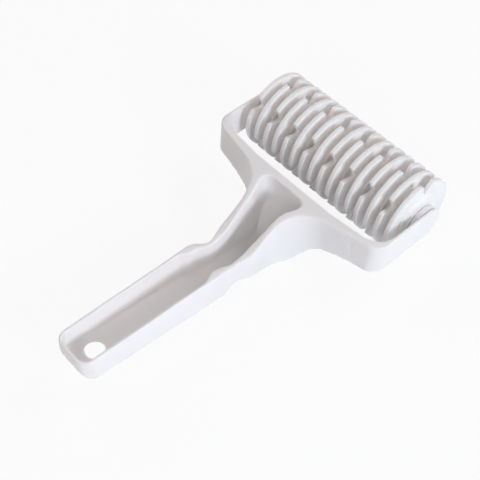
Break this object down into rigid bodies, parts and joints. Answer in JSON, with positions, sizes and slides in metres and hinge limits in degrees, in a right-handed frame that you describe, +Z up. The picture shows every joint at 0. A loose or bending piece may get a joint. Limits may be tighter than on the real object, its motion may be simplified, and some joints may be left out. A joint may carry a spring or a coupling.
{
  "type": "lattice roller cutter",
  "caption": "White plastic pastry tool: a roller of notched discs turns in a two-armed fork with a hollow channel handle, and cuts a lattice of slits into rolled dough.",
  "frame": {"origin": "centre of the part's plan, at the height of its lowest point, under the belly of the neck", "axes": "+X along the roller axis, +Y from the handle end towards the roller, +Z up out of the open side of the handle"},
  "size_m": [0.116, 0.1962, 0.0483],
  "materials": {
    "frame_plastic": "satin white moulded plastic",
    "roller_plastic": "satin white moulded plastic"
  },
  "bodies": {
    "frame": {"frame": "frame_plastic"},
    "roller": {"axle": "roller_plastic", "cutter_disc_01": "roller_plastic", "cutter_disc_02": "roller_plastic", "cutter_disc_03": "roller_plastic", "cutter_disc_04": "roller_plastic", "cutter_disc_05": "roller_plastic", "cutter_disc_06": "roller_plastic", "cutter_disc_07": "roller_plastic", "cutter_disc_08": "roller_plastic", "cutter_disc_09": "roller_plastic", "cutter_disc_10": "roller_plastic", "cutter_disc_11": "roller_plastic", "cutter_disc_12": "roller_plastic", "cutter_disc_13": "roller_plastic", "cutter_disc_14": "roller_plastic", "cutter_disc_15": "roller_plastic", "cutter_disc_16": "roller_plastic", "end_collar_left": "roller_plastic", "end_collar_right": "roller_plastic"}
  },
  "joints": [
    {"name": "roller_spin", "type": "hinge", "parent": "frame", "child": "roller", "pos_m": [0, 0.07615, 0.0263], "axis": [1, 0, 0], "continuous": true}
  ]
}
